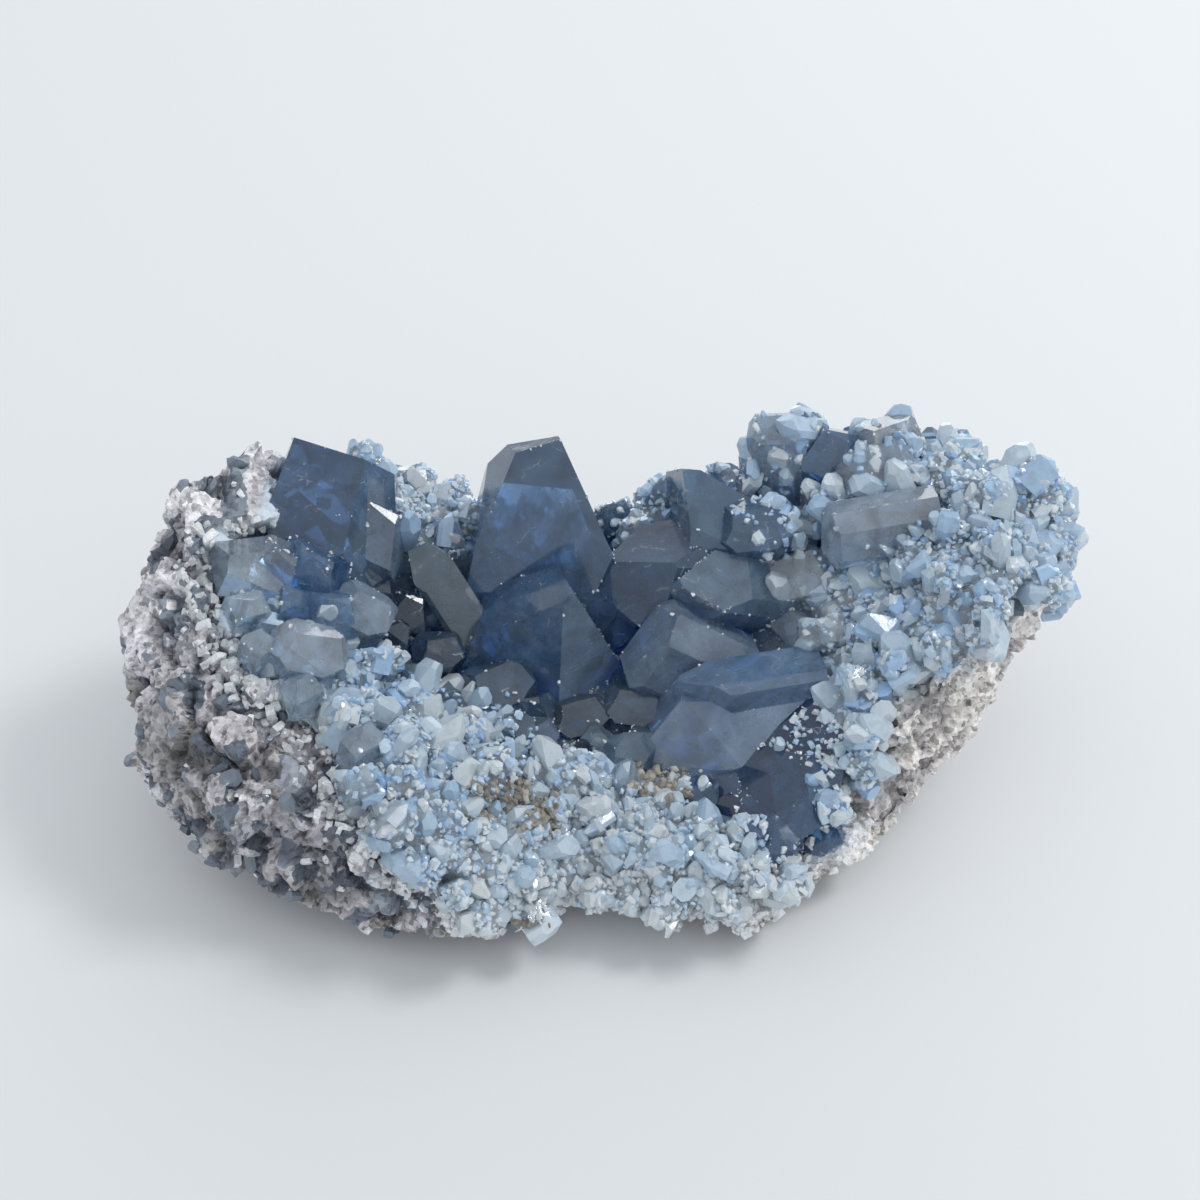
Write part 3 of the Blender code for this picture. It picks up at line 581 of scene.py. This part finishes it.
def grown_piece(name, forms, spots, spacing, most, lean, sink, material):
    """One mesh of many small crystals that lean a little from the normals they grew on. The spots are
    their places, normals and widths, thinned out to a spacing and to the most that the piece may have."""
    verts, faces, tones = [], [], []
    start = 0
    for number in spaced(spots[0], spots[2], spacing)[:most]:
        place, normal, width = (values[number] for values in spots)
        points, shape = forms[draw.integers(len(forms))]
        axis = normal + draw.uniform(-lean, lean, 3)
        axis /= np.linalg.norm(axis)
        side = np.cross(axis, draw.normal(size=3))
        side /= np.linalg.norm(side)
        size = width * np.array((1, draw.uniform(*GROWN_DEPTHS), draw.uniform(*GROWN_LENGTHS)))
        turned = (points * size) @ np.array((side, np.cross(axis, side), axis))
        verts.append(turned + place - axis * width * sink)
        faces.extend([[corner + start for corner in face] for face in shape])
        whiter = min(max((WHITE_BELOW - place[2] / MM) / WHITE_OVER, 0), 1)
        tones.extend([draw.random() * TONE_BY_CHANCE + whiter * TONE_BY_HEIGHT] * len(points))
        start += len(points)
    mesh = bpy.data.meshes.new(name)
    mesh.from_pydata(np.concatenate(verts).tolist(), [], faces)
    mesh.attributes.new("tone", "FLOAT", "POINT").data.foreach_set("value", tones)
    return new_piece(name, mesh, material)


# The milky clouds, the gloss and the fine steps on every small crystal.
GRAIN_CLOUDS = ((0.35, 0.75), (0.5, 1.0))
GRAIN_GLOSS = ((0.4, 0.02), (0.7, 0.11))
icy_grain, given, result = shared_effect(
    "icy grain", {"Tint": "Color"}, {"Tint": "Color", "Roughness": "Float", "Normal": "Vector"},
)
place = object_place(icy_grain)
cloud = add_node(icy_grain, "TexNoise", {"Vector": place, "Scale": 700.0, "Detail": 5.0}).outputs["Fac"]
clouded = ramp(icy_grain, cloud, GRAIN_CLOUDS)
steps = add_node(icy_grain, "TexNoise", {"Vector": place, "Scale": 1600.0, "Detail": 4.0}).outputs["Fac"]
set_sockets(icy_grain, result, {
    "Tint": blended(icy_grain, "MULTIPLY", 0.5, given["Tint"], clouded),
    "Roughness": ramp(icy_grain, cloud, GRAIN_GLOSS),
    "Normal": bumped(icy_grain, steps, distance=0.12, strength=0.6),
})


def small_crystal_look(name, tints, transmission):
    """Clear to milky glassy grains whose tint changes from one to the next."""
    material, tree, shader = new_look(name)
    icy = use_effect(tree, icy_grain, {"Tint": ramp(tree, mesh_value(tree, "tone"), tints)})
    set_sockets(tree, shader, {
        "Base Color": icy["Tint"],
        "Roughness": icy["Roughness"],
        "Normal": icy["Normal"],
        "Transmission Weight": transmission,
        "IOR": CELESTITE_IOR,
    })
    return material


DRUSE_TINTS = (
    (0.0, (0.42, 0.65, 0.96)), (0.3, (0.68, 0.85, 1.0)),
    (0.6, (0.88, 0.94, 0.99)), (1.0, (0.90, 0.92, 0.95)),
)
PALE_TINTS = (
    (0.0, (0.50, 0.72, 0.97)), (0.3, (0.70, 0.86, 1.0)),
    (0.65, (0.86, 0.95, 1.0)), (1.0, (1.0, 1.0, 1.0)),
)
druse_look = small_crystal_look("pale_druse", DRUSE_TINTS, transmission=0.26)
pale_look = small_crystal_look("pale_clear_crystals", PALE_TINTS, transmission=0.38)

# The places where the coat is thick: middle and half size in millimetres, and how thick.
COATED = (
    ((0, -32, 8), (44, 13, 12), 1.0),
    ((0, -34, 4), (44, 12, 4), 2.5),
    ((-34, -16, 17), (12, 8, 9), 1.0),
    ((-16, -21, 14), (14, 7, 8), 0.9),
    ((-30, -17, 20), (16, 8, 9), 1.6),
    ((40, -8, 22), (9, 16, 14), 0.9),
    ((53, 10, 30), (12, 16, 16), 1.0),
    ((-24, 21, 30), (9, 6, 9), 0.8),
    ((31, -22, 12), (8, 10, 10), 1.0),
    ((33, 20, 40), (14, 8, 8), 0.25),
    ((0, 25, 22), (30, 8, 10), 0.3),
)
# The places where larger pale crystals stand close together.
PALE = (
    ((-29, -15, 21), (15, 8, 10), 1.6),
    ((0, -28, 9), (42, 12, 11), 0.8),
    ((42, -6, 24), (10, 16, 14), 1.0),
    ((53, 12, 32), (12, 14, 14), 1.0),
    ((-26, 21, 31), (9, 6, 9), 0.8),
    ((30, 8, 27), (6, 8, 6), 0.8),
    ((29, 22, 40), (7, 6, 7), 0.8),
)
# The large faces and the patches of rock that no coat covers: middle and half size in millimetres.
BARE = (
    ((19, -19, 13), (8, 5, 6)),
    ((25, -25, 13), (5, 4, 4)),
)
ROCK_PATCHES = (
    ((-11.4, -22.5, 14), (4.6, 2.8, 5)),
    ((7.7, -17, 15), (2.2, 2.0, 4)),
    ((-15, -34, 5), (10, 5, 2.0)),
)
# A crystal counts as large from this area in square millimetres, and as wholly so this much above it.
LARGE_FACE, LARGER = 30, 20
BARE_SOFT = 1.5
OFF_ROCK = 0.9
# Widths in millimetres: the narrowest, and how much wider the widest are. High up, pale ones are wider.
PALE_WIDTH, PALE_WIDER, PALE_WIDER_HIGH = 1.9, 1.3, 2.2
HIGH_FROM, HIGH_OVER = 12, 8
POINT_WIDTH, POINT_WIDER = 0.9, 2.2
SUGAR_WIDTHS = (0.45, 1.0)

plain_forms = grain_forms(8, facets=4, seed=3)
cut_forms = grain_forms(10, facets=6, seed=7)
crust_ground = ground_of(crystal_mesh)
crust_middles = crust_ground[0].mean(1) / MM
on_crust = gaps_to(rock_tree, crust_middles) > OFF_ROCK
uncoated = np.clip((crust_ground[3] - LARGE_FACE) / LARGER, 0, 1)
for middle, reach in BARE + ROCK_PATCHES:
    uncoated = np.maximum(uncoated, within(crust_middles, middle, reach, BARE_SOFT))
pale_coat = np.where(on_crust, thickness(crust_middles, PALE) * (1 - uncoated), 0)
coat = np.where(on_crust, thickness(crust_middles, COATED) * (1 - uncoated), 0)

places, _ = scatter(crust_ground, pale_coat, tries=3000)
high = np.clip((places[:, 2] / MM - HIGH_FROM) / HIGH_OVER, 0, 1)
widths = mostly_narrow(PALE_WIDTH, PALE_WIDER + PALE_WIDER_HIGH * high, len(places), power=2)
normals = np.array([rock_tree.find_nearest(Vector(place))[1] for place in places])
grown_piece(
    "pale_crystals", cut_forms, (places, normals, widths), spacing=0.82, most=700,
    lean=0.45, sink=0.35, material=pale_look,
)

places, normals = scatter(crust_ground, coat, tries=9000)
widths = mostly_narrow(POINT_WIDTH, POINT_WIDER, len(places), power=3)
grown_piece(
    "druse_points", cut_forms, (places, normals, widths), spacing=0.75, most=3800,
    lean=0.28, sink=0.45, material=druse_look,
)

places, normals = scatter(crust_ground, coat, tries=16000)
widths = draw.uniform(*SUGAR_WIDTHS, len(places)) * MM
grown_piece(
    "druse_sugar", plain_forms, (places, normals, widths), spacing=0.75, most=7000,
    lean=0.6, sink=0.3, material=druse_look,
)

# The crumbs
# White grains and chips of celestite and rock that came off as the piece was broken. They lie loose in
# the seams between the crystals, along their edges and, here and there, on their faces.
CRUMBS = 5000
EDGE_SHARE = 0.25
HEAP_SIZE, HEAP_LEVEL = 5.0, -0.05
CRUMB_WIDTH, CRUMB_WIDER = 0.12, 0.34
CRUMB_STRAY = 0.08
CRUMB_TINTS = ((0.0, (0.55, 0.58, 0.60)), (0.4, (0.82, 0.85, 0.88)), (1.0, (0.97, 0.98, 1.0)))
CRUMB_SPECKS = ((0.35, 0.6), (0.6, 1.0))
CRUMB_GLOSS = ((0.4, 0.2), (0.6, 0.6))


def dry_grain_look(name, tints, scale, detail, depth, specks, gloss):
    """Dull grains, each with its own tint under fine dark specks."""
    material, tree, shader = new_look(name)
    speckle = add_node(tree, "TexNoise", {
        "Vector": object_place(tree), "Scale": scale, "Detail": detail,
    }).outputs["Fac"]
    tint = ramp(tree, mesh_value(tree, "tone"), tints)
    set_sockets(tree, shader, {
        "Base Color": blended(tree, "MULTIPLY", depth, tint, ramp(tree, speckle, specks)),
        "Roughness": ramp(tree, speckle, gloss),
    })
    return material


crumb_look = dry_grain_look(
    "white_crumbs", CRUMB_TINTS, scale=2500.0, detail=3.0, depth=0.5,
    specks=CRUMB_SPECKS, gloss=CRUMB_GLOSS,
)
seams, seam_normals, seam_chances = [], [], []
for line in crust.edges:
    if rooted.intersection(line.verts) or len(line.link_faces) != 2:
        continue
    seams.append([vert.co for vert in line.verts])
    seam_normals.append((line.link_faces[0].normal + line.link_faces[1].normal).normalized())
    seam_chances.append(line.calc_length() * (EDGE_SHARE if line.is_convex else 1.0))
seams, seam_normals, seam_chances = np.array(seams), np.array(seam_normals), np.array(seam_chances)
chosen = draw.choice(len(seams), size=CRUMBS, p=seam_chances / seam_chances.sum())
along = draw.random((CRUMBS, 1))
places = seams[chosen, 0] * along + seams[chosen, 1] * (1 - along)
in_heap = np.array([noise.noise(Vector(place) / MM / HEAP_SIZE) for place in places]) > HEAP_LEVEL
widths = mostly_narrow(CRUMB_WIDTH, CRUMB_WIDER, CRUMBS, power=3)
places += draw.normal(size=(CRUMBS, 3)) * CRUMB_STRAY * MM
grown_piece(
    "crumbs", plain_forms, (places[in_heap], seam_normals[chosen][in_heap], widths[in_heap]),
    spacing=0, most=CRUMBS, lean=1.5, sink=0.2, material=crumb_look,
)

# The bare patches
# Two spots among the front crystals and a strip along the foot where crumbly brown rock shows. It is
# made of chips set close into the crust.
CHIP_TINTS = ((0.0, (0.20, 0.19, 0.17)), (0.5, (0.38, 0.36, 0.32)), (1.0, (0.62, 0.60, 0.56)))
CHIP_SPECKS = ((0.35, 0.45), (0.6, 1.1))
CHIP_GLOSS = ((0.4, 0.75), (0.6, 0.95))
CHIP_TRIES = 3000
CHIP_WIDTHS = (0.6, 1.7)
CHIP_SOFT = 1.0

chip_look = dry_grain_look(
    "brown_rock", CHIP_TINTS, scale=1400.0, detail=4.0, depth=0.8,
    specks=CHIP_SPECKS, gloss=CHIP_GLOSS,
)
chip_places = np.max([within(crust_middles, *patch, CHIP_SOFT) for patch in ROCK_PATCHES], axis=0)
places, normals = scatter(crust_ground, chip_places, CHIP_TRIES)
widths = draw.uniform(*CHIP_WIDTHS, len(places)) * MM
grown_piece(
    "rock_chips", cut_forms, (places, normals, widths), spacing=0.6, most=CHIP_TRIES,
    lean=0.9, sink=0.3, material=chip_look,
)

# The crystals in the rock
# Grey-blue crystals that the rock broke across, flush with its left and front face, and a sprinkle of
# pale sugar round them where the coat thins out into bare rock.
FLUSH_TINTS = ((0.0, (0.10, 0.13, 0.18)), (0.5, (0.26, 0.32, 0.40)), (1.0, (0.50, 0.58, 0.66)))
FLUSH_WIDTHS = (1.0, 2.4)
ROCK_SUGAR_WIDTHS = (0.5, 1.4)
# Where they are: middle, half size and soft edge in millimetres. A few lie on the rest of the rock.
BROKEN_ACROSS = (
    ((-38, -18, 16), (30, 24, 18), 6),
    ((0, -34, 4), (44, 12, 8), 4),
)
FEW = 0.05
OFF_CRUST, ABOVE_FOOT = 0.6, 2.5
# How the sugar thins out away from the crust: where it ends, over how far, how little is left, how fast.
SUGAR_END, SUGAR_OVER, SUGAR_LEAST, SUGAR_FALL = 6, 5, 0.04, 1.5

flush_look = small_crystal_look("grey_blue_crystals", FLUSH_TINTS, transmission=0.5)
rock_ground = ground_of(rock_mesh)
rock_middles = rock_ground[0].mean(1) / MM
crust_gap = gaps_to(crust_tree, rock_middles)
bare_rock = (crust_gap > OFF_CRUST) & (rock_middles[:, 2] > ABOVE_FOOT)
broken_across = np.max([within(rock_middles, *box) for box in BROKEN_ACROSS], axis=0)
broken_across = np.where(bare_rock, broken_across + FEW, 0)
places, normals = scatter(rock_ground, broken_across, tries=1500)
widths = draw.uniform(*FLUSH_WIDTHS, len(places)) * MM
grown_piece(
    "flush_crystals", cut_forms, (places, normals, widths), spacing=1.1, most=400,
    lean=0.4, sink=0.92, material=flush_look,
)

near_coat = broken_across * np.clip((SUGAR_END - crust_gap) / SUGAR_OVER, SUGAR_LEAST, 1) ** SUGAR_FALL
places, normals = scatter(rock_ground, near_coat, tries=9000)
widths = draw.uniform(*ROCK_SUGAR_WIDTHS, len(places)) * MM
grown_piece(
    "rock_sugar", plain_forms, (places, normals, widths), spacing=0.75, most=3600,
    lean=0.8, sink=0.4, material=crumb_look,
)

# The floor
# The plain pale ground that the piece rests on. It is one flat matt face at the height of the foot, far
# larger than the view.
FLOOR_CORNERS = [(-2, -2, 0), (2, -2, 0), (2, 3, 0), (-2, 3, 0)]
floor_look, tree, shader = new_look("pale_ground")
set_sockets(tree, shader, {
    "Base Color": (0.74, 0.76, 0.78, 1),
    "Roughness": 0.9,
    "Specular IOR Level": 0.2,
})
floor_mesh = bpy.data.meshes.new("floor")
floor_mesh.from_pydata(FLOOR_CORNERS, [], [(0, 1, 2, 3)])
floor_mesh.materials.append(floor_look)
floor = bpy.data.objects.new("floor", floor_mesh)
bpy.context.scene.collection.objects.link(floor)

# The light
# Soft studio light: a pale room all round, a soft lamp high on the right, and a wide low window behind
# that the crystals' faces reflect.
room = bpy.data.worlds.new("room")
bpy.context.scene.world = room
room.use_nodes = True
background = room.node_tree.nodes["Background"]
set_sockets(room.node_tree, background, {"Color": (0.94, 0.97, 1.0, 1), "Strength": 0.80})


def softbox(name, place, target, size, power, colour):
    """A soft rectangular light at one place that points at another."""
    lamp = bpy.data.lights.new(name, "AREA")
    lamp.shape = "RECTANGLE"
    lamp.size, lamp.size_y = size
    lamp.energy = power
    lamp.color = colour
    holder = bpy.data.objects.new(name, lamp)
    holder.location = place
    holder.rotation_mode = "QUATERNION"
    holder.rotation_quaternion = (Vector(target) - Vector(place)).to_track_quat("-Z", "Y")
    bpy.context.scene.collection.objects.link(holder)


softbox(
    "lamp", place=(0.62, 0.12, 0.80), target=(0, 0, 0.01),
    size=(0.30, 0.24), power=3.2, colour=(1.0, 0.99, 0.97),
)
softbox(
    "window", place=(0.15, 1.35, 0.34), target=(0, 0, 0.05),
    size=(1.9, 0.45), power=7.0, colour=(0.96, 0.98, 1.0),
)

# The camera
# It stands in front of the piece, 27 centimetres from its middle, and looks down at 42 degrees as the
# photograph does.
LOOKS_DOWN = math.radians(42)
camera = bpy.data.objects.new("camera", bpy.data.cameras.new("camera"))
bpy.context.scene.collection.objects.link(camera)
camera.data.sensor_width = 36
camera.data.lens = 57
camera.data.clip_start = 0.005
camera.location = (-0.0004, -0.1838, 0.1953)
camera.rotation_mode = "QUATERNION"
sight = Vector((0, math.cos(LOOKS_DOWN), -math.sin(LOOKS_DOWN)))
camera.rotation_quaternion = sight.to_track_quat("-Z", "Y")
bpy.context.scene.camera = camera
bpy.context.scene.view_settings.view_transform = "Standard"
